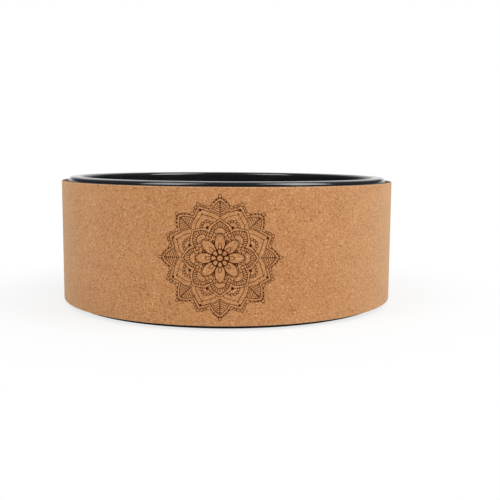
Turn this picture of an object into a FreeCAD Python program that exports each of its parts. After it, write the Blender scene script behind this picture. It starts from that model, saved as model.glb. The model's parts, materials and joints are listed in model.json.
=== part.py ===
"""Yoga wheel: a hollow hoop moulded in two halves, wrapped in a foam strip and a cork strip.

The wheel lies on one rim. Its axis is +Z, and the origin is the centre of the lower rim's land.
Both hoop halves are drawn rim down, and the upper one is turned over onto the lower one.
"""

import FreeCAD
import Part
import Sketcher
import os

# Driving dimensions in millimetres, apart from the two counts and the angles in degrees.
SIZES = (
    ("wheel_diameter", 320.0, "over the cork"),
    ("wheel_width", 120.0, "across the two rims"),
    ("rim_stand", 3.8, "how far each rim stands past the edge of the cover"),
    ("cork_thickness", 3.5, "agglomerated cork strip"),
    ("cork_edge_round", 0.8, "broken outer edges of the cork"),
    ("foam_thickness", 2.3, "foam strip under the cork"),
    ("tape_thickness", 0.2, "adhesive film, under the foam and under the cork"),
    ("seam_gap", 0.4, "butt seam where a wrapped strip meets itself"),
    ("cork_seam_angle", 90.0, "the cork's seam is at the back"),
    ("foam_seam_angle", 180.0, "the foam's seam is away from the cork's"),
    ("hoop_thickness", 12.4, "outer face to inner face of the hoop"),
    ("hoop_wall", 3.5, "outer and inner walls of the hoop"),
    ("rim_wall", 6.0, "from the rim's land to the end of the cavity"),
    ("rim_outer_round", 4.0, "from the rim's land to the hoop's outer face"),
    ("rim_inner_round", 2.0, "from the rim's land to the hoop's inner face"),
    ("cavity_round", 2.0, "corners at the end of the cavity"),
    ("parting_chamfer", 0.4, "inner edge of each half where they meet"),
    ("rib_count", 24.0, "radial ribs in each half"),
    ("rib_thickness", 2.2, "each rib"),
    ("rib_setback", 6.0, "from the joint to the end of a rib"),
    ("tongue_thickness", 1.3, "tongue on each wall of the lower half"),
    ("tongue_height", 2.5, "how far a tongue enters its groove"),
    ("joint_clearance", 0.1, "each side of a tongue in its groove"),
    ("cement_depth", 0.5, "cement between a tongue and the end of its groove"),
    ("peg_count", 6.0, "locating pegs between the halves"),
    ("peg_diameter", 3.0, "at the root of a peg"),
    ("peg_length", 6.0, "how far a peg enters its socket"),
    ("peg_taper", 2.0, "draft of a peg"),
    ("peg_clearance", 0.1, "round a peg in its socket"),
    ("pad_wall", 1.8, "beside a peg, along the hoop"),
    ("pad_floor", 5.5, "below the end of a socket"),
)

# Radii and heights that pieces share, as expressions of the driving dimensions.
CORK_OUTSIDE = "Sizes.wheel_diameter / 2"
CORK_INSIDE = f"{CORK_OUTSIDE} - Sizes.cork_thickness"
FOAM_OUTSIDE = f"{CORK_INSIDE} - Sizes.tape_thickness"
FOAM_INSIDE = f"{FOAM_OUTSIDE} - Sizes.foam_thickness"
HOOP_OUTSIDE = f"{FOAM_INSIDE} - Sizes.tape_thickness"
HOOP_INSIDE = f"{HOOP_OUTSIDE} - Sizes.hoop_thickness"
HOOP_MIDDLE = f"{HOOP_OUTSIDE} - Sizes.hoop_thickness / 2"
CAVITY_OUTSIDE = f"{HOOP_OUTSIDE} - Sizes.hoop_wall"
CAVITY_INSIDE = f"{HOOP_INSIDE} + Sizes.hoop_wall"
OUTER_WALL_MIDDLE = f"{HOOP_OUTSIDE} - Sizes.hoop_wall / 2"
INNER_WALL_MIDDLE = f"{HOOP_INSIDE} + Sizes.hoop_wall / 2"
HALF_WIDTH = "Sizes.wheel_width / 2"
TONGUE_HALF = "Sizes.tongue_thickness / 2"
GROOVE_HALF = f"{TONGUE_HALF} + Sizes.joint_clearance"
GROOVE_DEPTH = "(Sizes.tongue_height + Sizes.cement_depth)"
SOCKET_DEPTH = "(Sizes.peg_length + Sizes.cement_depth)"
COVER_LOW = "Sizes.rim_stand"
COVER_HIGH = "Sizes.wheel_width - Sizes.rim_stand"
FULL_TURN = 360.0
HALF_TURN = 180.0
TOLERANCE = 1e-4
# The most of half the cavity's width that a corner round may take.
ROUND_LIMIT = 0.9

doc = FreeCAD.newDocument("yoga_wheel")
sizes = doc.addObject("Spreadsheet::Sheet", "Sizes")


def fill_sheet():
    """Writes each driving dimension to its own row: a name, a number with that alias, and a note."""
    for row, (alias, value, note) in enumerate(SIZES, start=1):
        sizes.set(f"A{row}", alias)
        sizes.set(f"B{row}", str(value))
        sizes.setAlias(f"B{row}", alias)
        sizes.set(f"C{row}", note)
    doc.recompute()


def new_body(label):
    """An empty body with the name of its piece."""
    body = doc.addObject("PartDesign::Body", label)
    body.Label = label
    return body


def origin_feature(body, role):
    """A plane or an axis of the body's own origin."""
    return next(feature for feature in body.Origin.OriginFeatures if feature.Role == role)


def rectangle(body, name, inner, outer, low, high):
    """A rectangle on the body's XZ plane, from radius inner to outer and from height low to high.

    It is drawn at unit size, and the four expressions then set its place.
    """
    sketch = body.newObject("Sketcher::SketchObject", name)
    sketch.AttachmentSupport = [(origin_feature(body, "XZ_Plane"), "")]
    sketch.MapMode = "FlatFace"
    corners = [FreeCAD.Vector(*at) for at in ((1, 1, 0), (2, 1, 0), (2, 2, 0), (1, 2, 0))]
    for start, end in zip(corners, corners[1:] + corners[:1]):
        sketch.addGeometry(Part.LineSegment(start, end))
    for line in range(4):
        sketch.addConstraint(Sketcher.Constraint("Coincident", line, 2, (line + 1) % 4, 1))
        sketch.addConstraint(Sketcher.Constraint("Vertical" if line % 2 else "Horizontal", line))
    for label, kind, line, value in (
        ("inner", "DistanceX", 0, inner),
        ("low", "DistanceY", 0, low),
        ("outer", "DistanceX", 2, outer),
        ("high", "DistanceY", 2, high),
    ):
        drawn_at = 1.0 if line == 0 else 2.0
        index = sketch.addConstraint(Sketcher.Constraint(kind, -1, 1, line, 1, drawn_at))
        sketch.renameConstraint(index, label)
        sketch.setExpression(f"Constraints.{label}", value)
    return sketch


def circle_at_joint(body, name, diameter):
    """A circle on the joint plane, on the X axis at the middle of the hoop's thickness."""
    sketch = body.newObject("Sketcher::SketchObject", name)
    sketch.AttachmentSupport = [(origin_feature(body, "XY_Plane"), "")]
    sketch.MapMode = "FlatFace"
    sketch.setExpression("AttachmentOffset.Base.z", HALF_WIDTH)
    sketch.addGeometry(Part.Circle(FreeCAD.Vector(1, 0, 0), FreeCAD.Vector(0, 0, 1), 1))
    sketch.addConstraint(Sketcher.Constraint("PointOnObject", 0, 3, -1))
    for label, constraint, value in (
        ("place", Sketcher.Constraint("DistanceX", -1, 1, 0, 3, 1.0), HOOP_MIDDLE),
        ("diameter", Sketcher.Constraint("Diameter", 0, 2.0), diameter),
    ):
        index = sketch.addConstraint(constraint)
        sketch.renameConstraint(index, label)
        sketch.setExpression(f"Constraints.{label}", value)
    return sketch


def turned(body, kind, name, sketch, angle=None):
    """A Revolution or Groove of the sketch about the wheel's axis, whole unless an angle is given."""
    feature = body.newObject(f"PartDesign::{kind}", name)
    feature.Profile = sketch
    feature.ReferenceAxis = (sketch, ["V_Axis"])
    feature.Angle = FULL_TURN
    if angle:
        feature.Midplane = True
        feature.setExpression("Angle", angle)
    doc.recompute()
    return feature


def padded(body, name, sketch, length):
    """A Pad of the sketch, half on each side of its plane."""
    feature = body.newObject("PartDesign::Pad", name)
    feature.Profile = sketch
    feature.SideType = "Symmetric"
    feature.setExpression("Length", length)
    doc.recompute()
    return feature


def repeated(body, name, features, count):
    """A PolarPattern of the features round the wheel's axis."""
    pattern = body.newObject("PartDesign::PolarPattern", name)
    pattern.Originals = features
    pattern.Axis = (origin_feature(body, "Z_Axis"), [""])
    pattern.Angle = FULL_TURN
    pattern.setExpression("Occurrences", count)
    body.Tip = pattern
    doc.recompute()
    return pattern


def dressed(body, kind, name, edges, size):
    """A Fillet or Chamfer of the named edges of the body's last feature."""
    feature = body.newObject(f"PartDesign::{kind}", name)
    feature.Base = (feature.BaseFeature, edges)
    feature.setExpression("Radius" if kind == "Fillet" else "Size", size)
    doc.recompute()
    return feature


def edges_of(body, wanted):
    """Names of the edges of the body's last feature for which wanted(edge) is true."""
    found = enumerate(body.Tip.Shape.Edges, start=1)
    return [f"Edge{number}" for number, edge in found if wanted(edge)]


def lies_at(edge, height):
    """True if the whole edge is at that height."""
    box = edge.BoundBox
    return abs(box.ZMin - height) < TOLERANCE and abs(box.ZMax - height) < TOLERANCE


def ring_at(body, height, pick):
    """Name of the smallest ring edge at that height, or of the largest, where pick is min or max."""
    rings = edges_of(body, lambda edge: lies_at(edge, height) and edge.isClosed())
    return pick(rings, key=lambda name: body.Tip.Shape.getElement(name).Curve.Radius)


def hoop_blank(label):
    """A half hoop with its rounded rim, its cavity and the ribs across the cavity, rim down."""
    body = new_body(label)
    blank = rectangle(body, "blank_profile", HOOP_INSIDE, HOOP_OUTSIDE, "0", HALF_WIDTH)
    turned(body, "Revolution", "blank", blank)
    dressed(body, "Fillet", "outer_rim_round", [ring_at(body, 0.0, max)], "Sizes.rim_outer_round")
    dressed(body, "Fillet", "inner_rim_round", [ring_at(body, 0.0, min)], "Sizes.rim_inner_round")
    hollow = rectangle(body, "cavity_profile", CAVITY_INSIDE, CAVITY_OUTSIDE, "Sizes.rim_wall", HALF_WIDTH)
    turned(body, "Groove", "cavity", hollow)
    floor_edges = edges_of(body, lambda edge: lies_at(edge, sizes.rim_wall))
    widest_round = f"(Sizes.hoop_thickness / 2 - Sizes.hoop_wall) * {ROUND_LIMIT}"
    dressed(body, "Fillet", "cavity_rounds", floor_edges, f"min(Sizes.cavity_round; {widest_round})")

    # Ribs and peg blocks run half a wall deep into both walls and into the rim, so that they fuse.
    bite_inside = f"{CAVITY_INSIDE} - Sizes.hoop_wall / 2"
    bite_outside = f"{CAVITY_OUTSIDE} + Sizes.hoop_wall / 2"
    rib = rectangle(
        body,
        "rib_profile",
        bite_inside,
        bite_outside,
        "Sizes.rim_wall - Sizes.hoop_wall / 2",
        f"{HALF_WIDTH} - Sizes.rib_setback",
    )
    first_rib = padded(body, "rib", rib, "Sizes.rib_thickness")
    repeated(body, "ribs", [first_rib], "Sizes.rib_count")
    block_low = f"{HALF_WIDTH} - {SOCKET_DEPTH} - Sizes.pad_floor"
    block = rectangle(body, "pad_profile", bite_inside, bite_outside, block_low, HALF_WIDTH)
    first_block = padded(body, "pad", block, "Sizes.peg_diameter + 2 * Sizes.pad_wall")
    repeated(body, "pads", [first_block], "Sizes.peg_count")

    innermost = ring_at(body, sizes.wheel_width / 2, min)
    dressed(body, "Chamfer", "parting_chamfer", [innermost], "Sizes.parting_chamfer")
    return body


def lower_hoop_half():
    """The half that carries a tongue on each wall and the locating pegs."""
    body = hoop_blank("lower_hoop_half")
    for name, middle in (("outer_tongue", OUTER_WALL_MIDDLE), ("inner_tongue", INNER_WALL_MIDDLE)):
        profile = rectangle(
            body,
            f"{name}_profile",
            f"{middle} - {TONGUE_HALF}",
            f"{middle} + {TONGUE_HALF}",
            HALF_WIDTH,
            f"{HALF_WIDTH} + Sizes.tongue_height",
        )
        turned(body, "Revolution", name, profile)
    peg = body.newObject("PartDesign::Pad", "peg")
    peg.Profile = circle_at_joint(body, "peg_circle", "Sizes.peg_diameter")
    peg.setExpression("Length", "Sizes.peg_length")
    peg.setExpression("TaperAngle", "-Sizes.peg_taper")
    doc.recompute()
    repeated(body, "pegs", [peg], "Sizes.peg_count")
    return body


def upper_hoop_half():
    """The half with a groove for each tongue and a socket for each peg, turned over onto the lower half."""
    body = hoop_blank("upper_hoop_half")
    for name, middle in (("outer_groove", OUTER_WALL_MIDDLE), ("inner_groove", INNER_WALL_MIDDLE)):
        profile = rectangle(
            body,
            f"{name}_profile",
            f"{middle} - ({GROOVE_HALF})",
            f"{middle} + {GROOVE_HALF}",
            f"{HALF_WIDTH} - {GROOVE_DEPTH}",
            HALF_WIDTH,
        )
        turned(body, "Groove", name, profile)
    socket = body.newObject("PartDesign::Pocket", "socket")
    socket.Profile = circle_at_joint(body, "socket_circle", "Sizes.peg_diameter + 2 * Sizes.peg_clearance")
    socket.setExpression("Length", SOCKET_DEPTH)
    doc.recompute()
    repeated(body, "sockets", [socket], "Sizes.peg_count")
    body.Placement = FreeCAD.Placement(
        FreeCAD.Vector(0, 0, sizes.wheel_width), FreeCAD.Rotation(FreeCAD.Vector(1, 0, 0), HALF_TURN)
    )
    return body


def cement_ring(label, middle):
    """Cured cement that fills the end of one groove, beyond the tongue."""
    body = new_body(label)
    profile = rectangle(
        body,
        "bead_profile",
        f"{middle} - ({GROOVE_HALF})",
        f"{middle} + {GROOVE_HALF}",
        f"{HALF_WIDTH} + Sizes.tongue_height",
        f"{HALF_WIDTH} + {GROOVE_DEPTH}",
    )
    turned(body, "Revolution", "bead", profile)
    return body


def wrapped_strip(label, inner, outer, seam_angle):
    """A strip wrapped once round the wheel, with its ends a seam gap apart at seam_angle."""
    body = new_body(label)
    profile = rectangle(body, "strip_profile", inner, outer, COVER_LOW, COVER_HIGH)
    gap_angle = f"Sizes.seam_gap / ({outer}) * 180 / pi"
    turned(body, "Revolution", "strip", profile, f"{FULL_TURN} - {gap_angle}")
    body.Placement = FreeCAD.Placement(
        FreeCAD.Vector(0, 0, 0), FreeCAD.Rotation(FreeCAD.Vector(0, 0, 1), seam_angle - HALF_TURN)
    )
    return body


def cork_cover():
    """The cork strip, with the two edges of its outer face broken."""
    body = wrapped_strip("cork_cover", CORK_INSIDE, CORK_OUTSIDE, sizes.cork_seam_angle)
    outside = sizes.wheel_diameter / 2
    rims = edges_of(
        body,
        lambda edge: isinstance(edge.Curve, Part.Circle) and abs(edge.Curve.Radius - outside) < TOLERANCE,
    )
    dressed(body, "Fillet", "broken_edges", rims, "Sizes.cork_edge_round")
    return body


def build():
    """All the pieces of the wheel, from the hoop outwards."""
    return [
        lower_hoop_half(),
        upper_hoop_half(),
        cement_ring("outer_wall_cement", OUTER_WALL_MIDDLE),
        cement_ring("inner_wall_cement", INNER_WALL_MIDDLE),
        wrapped_strip("hoop_tape", HOOP_OUTSIDE, FOAM_INSIDE, sizes.foam_seam_angle),
        wrapped_strip("foam_underlay", FOAM_INSIDE, FOAM_OUTSIDE, sizes.foam_seam_angle),
        wrapped_strip("cork_tape", FOAM_OUTSIDE, CORK_INSIDE, sizes.foam_seam_angle),
        cork_cover(),
    ]


def check(pieces):
    """Stops the build if a feature failed, or a piece isn't one valid solid."""
    for item in doc.Objects:
        if "Invalid" in item.State or "Error" in item.State:
            raise RuntimeError(f"{item.Label} failed: {item.State}")
    for piece in pieces:
        shape = piece.Shape
        if shape.isNull() or not shape.isValid() or len(shape.Solids) != 1:
            raise RuntimeError(f"{piece.Label} isn't one valid solid")


def export(pieces):
    """Writes each piece to its own STEP file, named after it."""
    os.makedirs("parts", exist_ok=True)
    for piece in pieces:
        piece.Shape.exportStep(os.path.join("parts", f"{piece.Label}.step"))
        print(f"{piece.Label}: {piece.Shape.Volume / 1000:.2f} cm3")


fill_sheet()
wheel = build()
doc.recompute()
check(wheel)
export(wheel)
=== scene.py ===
"""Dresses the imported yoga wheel: a glossy moulded hoop, its foam underlay and a printed cork band.

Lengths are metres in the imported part's frame. The wheel lies on one rim with its axis up +Z, and the
ornament is printed on the front, which faces -Y. The ornament is laid out flat in millimetres, about its
own centre, and then bent onto the cork.
"""

import json
import logging
import math
from collections.abc import Iterator, Mapping, Sequence
from dataclasses import dataclass
from enum import Enum
from typing import Any

import bmesh
import bpy
from bmesh.types import BMesh
from bpy.types import ID, Curve, Material, Node, NodeSocket, NodeTree, Object
from mathutils import Matrix, Vector


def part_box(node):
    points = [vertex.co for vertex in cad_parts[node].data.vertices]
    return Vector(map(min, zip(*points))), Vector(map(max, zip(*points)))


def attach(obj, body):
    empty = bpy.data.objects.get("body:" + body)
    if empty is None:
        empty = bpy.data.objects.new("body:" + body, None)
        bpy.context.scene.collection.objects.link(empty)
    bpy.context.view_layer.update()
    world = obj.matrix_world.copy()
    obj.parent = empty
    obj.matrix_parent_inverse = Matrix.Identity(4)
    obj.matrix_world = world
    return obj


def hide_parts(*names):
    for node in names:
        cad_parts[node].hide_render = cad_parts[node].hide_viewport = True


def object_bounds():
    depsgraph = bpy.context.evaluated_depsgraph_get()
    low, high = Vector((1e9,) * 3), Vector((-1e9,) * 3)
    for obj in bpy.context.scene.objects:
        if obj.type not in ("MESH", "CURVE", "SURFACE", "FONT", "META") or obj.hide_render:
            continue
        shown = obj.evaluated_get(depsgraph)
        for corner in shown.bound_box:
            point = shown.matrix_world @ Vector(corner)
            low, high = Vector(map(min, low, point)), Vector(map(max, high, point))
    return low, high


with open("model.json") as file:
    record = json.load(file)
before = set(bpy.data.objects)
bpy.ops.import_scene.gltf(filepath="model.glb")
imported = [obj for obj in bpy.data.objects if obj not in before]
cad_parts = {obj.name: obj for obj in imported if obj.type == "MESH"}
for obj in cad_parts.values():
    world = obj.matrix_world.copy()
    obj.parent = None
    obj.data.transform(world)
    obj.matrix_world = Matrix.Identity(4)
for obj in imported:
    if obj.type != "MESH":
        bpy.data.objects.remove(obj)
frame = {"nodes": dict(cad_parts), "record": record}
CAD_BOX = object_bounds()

LOG = logging.getLogger("yoga_wheel")
MM = 0.001
BODY = "root"
WHITE = "#FFFFFF"
FULL_TURN = 2 * math.pi
# Vertices closer than this are one vertex.
WELD = 0.0005 * MM
# Edges that fold by more than this stay sharp under smooth shading.
CREASE = math.radians(40)
# Signs of the left and right of a motif's axis.
SIDES = (-1, 1)


def linear(colour: str) -> tuple[float, float, float, float]:
    """Turns an sRGB hex colour to linear light.

    Args:
        colour: A hash sign and six hex digits.

    Returns:
        Linear red, green and blue, and an opaque alpha.
    """
    shares = [int(colour[place:place + 2], 16) / 255 for place in (1, 3, 5)]
    light = [s / 12.92 if s <= 0.04045 else ((s + 0.055) / 1.055) ** 2.4 for s in shares]
    return light[0], light[1], light[2], 1.0


def features(size: float) -> float:
    """Gives the texture scale whose features are this many millimetres across."""
    return 1 / (size * MM)


def heading(angle: float) -> Vector:
    """Gives the flat direction at an angle from up, in radians towards the right."""
    return Vector((math.sin(angle), math.cos(angle)))


def add_node(
    tree: NodeTree,
    kind: str,
    inputs: Mapping[str | int, Any] | None = None,
    output: str | int = 0,
    stops: Sequence[tuple[float, str]] = (),
    feeds: NodeSocket | None = None,
    **settings: Any,
) -> NodeSocket:
    """Adds a node with its settings, colour stops and links.

    Args:
        tree: Node tree that takes the node.
        kind: Node type, without the ShaderNode that every type starts with.
        inputs: Each socket's name or number, and its value or the output that feeds it.
        output: Name or number of the output that is used.
        stops: Positions and hex colours of a colour ramp, in order.
        feeds: Socket that the output feeds, where that is known already.
        settings: Properties of the node itself.

    Returns:
        The output.
    """
    node = tree.nodes.new("ShaderNode" + kind)
    for name, value in settings.items():
        setattr(node, name, value)
    for key, value in (inputs or {}).items():
        if isinstance(value, NodeSocket):
            tree.links.new(value, node.inputs[key])
        else:
            node.inputs[key].default_value = value
    if stops:
        elements = node.color_ramp.elements
        elements[0].position = stops[0][0]
        elements[1].position = stops[-1][0]
        for position, _ in stops[1:-1]:
            elements.new(position)
        for element, (_, colour) in zip(elements, stops):
            element.color = linear(colour)
    if feeds is not None:
        tree.links.new(node.outputs[output], feeds)
    return node.outputs[output]


@dataclass(frozen=True)
class Finish:
    """A material and how its surface was made.

    Attributes:
        name: The material's name.
        colour: Its main sRGB colour.
        roughness: Roughness of the bare surface.
        ior: Refractive index.
    """

    name: str
    colour: str
    roughness: float
    ior: float

    def material(self) -> Material:
        """Gives the material, made the first time it is asked for.

        Returns:
            The material.
        """
        known = bpy.data.materials.get(self.name)
        if known:
            return known
        made = bpy.data.materials.new(self.name)
        made.use_nodes = True
        made.diffuse_color = linear(self.colour)
        shader = made.node_tree.nodes["Principled BSDF"]
        shader.inputs["Base Color"].default_value = linear(self.colour)
        shader.inputs["Roughness"].default_value = self.roughness
        shader.inputs["IOR"].default_value = self.ior
        self.wire(made.node_tree, shader, add_node(made.node_tree, "TexCoord", output="Object"))
        return made

    def wire(self, tree: NodeTree, shader: Node, place: NodeSocket) -> None:
        """Adds what makes this finish more than one even colour.

        Args:
            tree: The material's node tree.
            shader: Its Principled shader.
            place: The place on the object.
        """
        raise NotImplementedError


@dataclass(frozen=True)
class MouldedAbs(Finish):
    """Black ABS from a polished mould: a deep gloss, broken by a slow ripple and a few dull patches.

    Attributes:
        ripple: Millimetres between the swells of the moulded skin.
        haze: Millimetres across a patch that handling has dulled.
        dulling: How much rougher the dullest patch is.
        lustre: Specular level, above the plain plastic's 0.5 for a polished skin.
    """

    ripple: float = 9.0
    haze: float = 26.0
    dulling: float = 0.07
    lustre: float = 0.8

    def wire(self, tree: NodeTree, shader: Node, place: NodeSocket) -> None:
        """Adds the ripple, the dull patches and a faint drift of the black.

        Args:
            tree: The material's node tree.
            shader: Its Principled shader.
            place: The place on the object.
        """
        shader.inputs["Specular IOR Level"].default_value = self.lustre
        haze = add_node(tree, "TexNoise", {"Vector": place, "Scale": features(self.haze), "Detail": 5.0})
        dull = {"To Min": self.roughness, "To Max": self.roughness + self.dulling}
        patches = {"Value": haze, "From Min": 0.35, "From Max": 0.75, **dull}
        add_node(tree, "MapRange", patches, feeds=shader.inputs["Roughness"])
        blacks = ((0.3, self.colour), (0.75, "#1D1E21"))
        add_node(tree, "ValToRGB", {"Fac": haze}, stops=blacks, feeds=shader.inputs["Base Color"])
        swells = {"Vector": place, "Scale": features(self.ripple), "Detail": 1.0}
        ripple = add_node(tree, "TexNoise", swells)
        relief = {"Height": ripple, "Distance": 0.03 * MM, "Strength": 0.25}
        add_node(tree, "Bump", relief, feeds=shader.inputs["Normal"])


@dataclass(frozen=True)
class Granules:
    """The granules of agglomerated cork, which the band and the ink on it share.

    Attributes:
        size: Millimetres across a granule.
        crumb: Millimetres across the crumbs that make its outline uneven.
        stray: How far, in millimetres, an outline wanders.
        crown: Share of a granule, in from its joint, at which its level crown starts.
    """

    size: float = 1.0
    crumb: float = 0.6
    stray: float = 0.4
    crown: float = 0.25

    def wire(self, tree: NodeTree, place: NodeSocket) -> tuple[NodeSocket, NodeSocket, NodeSocket]:
        """Adds the granule pattern.

        Args:
            tree: The material's node tree.
            place: The place on the object.

        Returns:
            A random tone for each granule, the distance from the nearest joint between granules as a
            share of a granule, and the height of the surface, which falls off to each joint.
        """
        fine = {"Vector": place, "Scale": features(self.crumb), "Detail": 2.0}
        crumbs = add_node(tree, "TexNoise", fine, output="Color")
        shift = {0: crumbs, 1: (self.stray * MM,) * 3, 2: place}
        wander = add_node(tree, "VectorMath", shift, operation="MULTIPLY_ADD")
        pattern = {"Vector": wander, "Scale": features(self.size)}
        cells = add_node(tree, "TexVoronoi", pattern, output="Color")
        tone = add_node(tree, "SeparateColor", {"Color": cells})
        joint = add_node(tree, "TexVoronoi", pattern, feature="DISTANCE_TO_EDGE")
        height = add_node(tree, "MapRange", {"Value": joint, "From Max": self.crown})
        return tone, joint, height


@dataclass(frozen=True)
class SandedCork(Finish):
    """Agglomerated cork, cut to a strip and sanded: tan granules with dark bark between a few of them.

    Attributes:
        granules: The granule pattern.
        low: Height of the strip's lower edge.
        high: Height of its upper edge.
        grain: Millimetres across the pores of one granule.
        mottle: Millimetres across the drifts of paler and darker cork.
        highlight_reach: Millimetres of the face, along the strip's edges, painted paler as a highlight on
            the rounded edge.
        cut: Millimetres by which painted shade, a dark brown, reaches down the face from the strip's top
            and bottom faces.
        fuzz: Weight of the sheen, which the faces under the painted shade don't have.
        lustre: Specular level, below the usual 0.5 because cork is dull.
    """

    granules: Granules = Granules()
    low: float = 0.0
    high: float = 1.0
    grain: float = 0.7
    mottle: float = 24.0
    highlight_reach: float = 1.3
    cut: float = 0.12
    fuzz: float = 0.32
    lustre: float = 0.35

    def wire(self, tree: NodeTree, shader: Node, place: NodeSocket) -> None:
        """Adds granules, pores, slow mottling, a painted highlight along the borders, painted shade on the
        top and bottom faces and the sheen.

        Args:
            tree: The material's node tree.
            shader: Its Principled shader.
            place: The place on the object.
        """
        tone, joint, raised = self.granules.wire(tree, place)
        pores = add_node(tree, "TexNoise", {"Vector": place, "Scale": features(self.grain), "Detail": 3.0})
        drift = add_node(tree, "TexNoise", {"Vector": place, "Scale": features(self.mottle), "Detail": 3.0})
        tans = (
            (0.0, "#965931"),
            (0.05, "#B47747"),
            (0.25, "#C48756"),
            (0.6, "#CA905C"),
            (0.88, "#D19966"),
            (1.0, "#E0AD7D"),
        )
        shade = add_node(tree, "ValToRGB", {"Fac": tone}, stops=tans)
        # The joints, the pores and the mottling each darken the granules by their own share.
        for share, pattern, tints in (
            (0.8, joint, ((0.0, "#DDD5CD"), (0.12, WHITE))),
            (0.9, pores, ((0.3, "#EDE8E3"), (0.5, "#F9F7F5"), (0.68, WHITE))),
            (1.0, drift, ((0.3, "#F5F1EB"), (0.7, "#FDFDFA"))),
        ):
            tint = add_node(tree, "ValToRGB", {"Fac": pattern}, stops=tints)
            layers = {0: share, 6: shade, 7: tint}
            shade = add_node(tree, "Mix", layers, 2, data_type="RGBA", blend_type="MULTIPLY")
        height = add_node(tree, "SeparateXYZ", {"Vector": place}, output="Z")
        rise = add_node(tree, "Math", {0: height, 1: (self.low + self.high) / 2}, operation="SUBTRACT")
        half_width = (self.high - self.low) / 2
        edge = {"Value": add_node(tree, "Math", {0: rise}, operation="ABSOLUTE"), "From Max": half_width}
        # A painted highlight pales a band along the rounded edges, and painted shade darkens the top and
        # bottom faces.
        for reach, share, colour in ((self.highlight_reach, 0.15, "#E2BE9C"), (self.cut, 0.85, "#4E2E18")):
            edge["From Min"] = half_width - reach * MM
            near_edge = add_node(tree, "MapRange", {**edge, "To Max": share})
            layers = {0: near_edge, 6: shade, 7: linear(colour)}
            shade = add_node(tree, "Mix", layers, 2, data_type="RGBA")
        tree.links.new(shade, shader.inputs["Base Color"])
        shader.inputs["Specular IOR Level"].default_value = self.lustre
        # The sheen fades out where the painted shade lies, so those faces stay dark.
        sheen = {**edge, "To Min": self.fuzz, "To Max": 0.0}
        add_node(tree, "MapRange", sheen, feeds=shader.inputs["Sheen Weight"])
        shader.inputs["Sheen Roughness"].default_value = 0.58
        shader.inputs["Sheen Tint"].default_value = linear("#FBF6D4")
        uneven = add_node(tree, "Math", {0: raised, 1: pores}, operation="ADD")
        relief = {"Height": uneven, "Distance": 0.1 * MM, "Strength": 0.4}
        add_node(tree, "Bump", relief, feeds=shader.inputs["Normal"])


@dataclass(frozen=True)
class ScreenInk(Finish):
    """Brown screen ink soaked into cork: matt lines that thin out over the crowns of the granules.

    Attributes:
        granules: The granule pattern of the cork below.
        lustre: Specular level, next to none because the ink is matt.
    """

    granules: Granules = Granules()
    lustre: float = 0.1

    def wire(self, tree: NodeTree, shader: Node, place: NodeSocket) -> None:
        """Lets the granules below show through the ink.

        Args:
            tree: The material's node tree.
            shader: Its Principled shader.
            place: The place on the object.
        """
        tone, joint, raised = self.granules.wire(tree, place)
        browns = ((0.0, "#381403"), (0.5, self.colour), (0.85, "#5C2D0F"), (1.0, "#6C3D1B"))
        soaked = add_node(tree, "ValToRGB", {"Fac": tone}, stops=browns)
        pooled = add_node(tree, "ValToRGB", {"Fac": joint}, stops=((0.0, "#B4AAA2"), (0.15, WHITE)))
        layers = {0: 0.8, 6: soaked, 7: pooled}
        worn = add_node(tree, "Mix", layers, 2, data_type="RGBA", blend_type="MULTIPLY")
        tree.links.new(worn, shader.inputs["Base Color"])
        shader.inputs["Specular IOR Level"].default_value = self.lustre
        relief = {"Height": raised, "Distance": 0.1 * MM, "Strength": 0.4}
        add_node(tree, "Bump", relief, feeds=shader.inputs["Normal"])


@dataclass(frozen=True)
class SkivedFoam(Finish):
    """Charcoal closed-cell foam, skived from a block: a soft dull grey full of cut cells.

    Attributes:
        cell: Millimetres across a cell, drawn twice as coarse as the real ones so that they show.
    """

    cell: float = 0.8

    def wire(self, tree: NodeTree, shader: Node, place: NodeSocket) -> None:
        """Adds the cut cells and the tone that changes from cell to cell.

        Args:
            tree: The material's node tree.
            shader: Its Principled shader.
            place: The place on the object.
        """
        cells = add_node(tree, "TexVoronoi", {"Vector": place, "Scale": features(self.cell)})
        greys = ((0.1, "#202022"), (0.45, self.colour), (0.8, "#3E3E41"))
        add_node(tree, "ValToRGB", {"Fac": cells}, stops=greys, feeds=shader.inputs["Base Color"])
        shader.inputs["Sheen Weight"].default_value = 0.15
        relief = {"Height": cells, "Distance": 0.25 * MM, "Strength": 0.6}
        add_node(tree, "Bump", relief, feeds=shader.inputs["Normal"])


@dataclass(frozen=True)
class AdhesiveFilm(Finish):
    """Double-sided adhesive film: a smooth waxy skin with cloudy streaks where it was rolled down.

    Attributes:
        streak: Millimetres across a streak.
        stretch: Share of its pattern's fineness that a streak keeps along the wheel.
    """

    streak: float = 6.0
    stretch: float = 0.2

    def wire(self, tree: NodeTree, shader: Node, place: NodeSocket) -> None:
        """Adds streaks that run round the wheel, with the relief that goes with them.

        Args:
            tree: The material's node tree.
            shader: Its Principled shader.
            place: The place on the object.
        """
        along = add_node(tree, "Mapping", {"Vector": place, "Scale": (self.stretch, self.stretch, 1.0)})
        rolled = {"Vector": along, "Scale": features(self.streak), "Detail": 3.0}
        streaks = add_node(tree, "TexNoise", rolled)
        clouds = ((0.3, "#4F4639"), (0.5, self.colour), (0.7, "#85796A"))
        add_node(tree, "ValToRGB", {"Fac": streaks}, stops=clouds, feeds=shader.inputs["Base Color"])
        relief = {"Height": streaks, "Distance": 0.05 * MM, "Strength": 0.3}
        add_node(tree, "Bump", relief, feeds=shader.inputs["Normal"])


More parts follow.
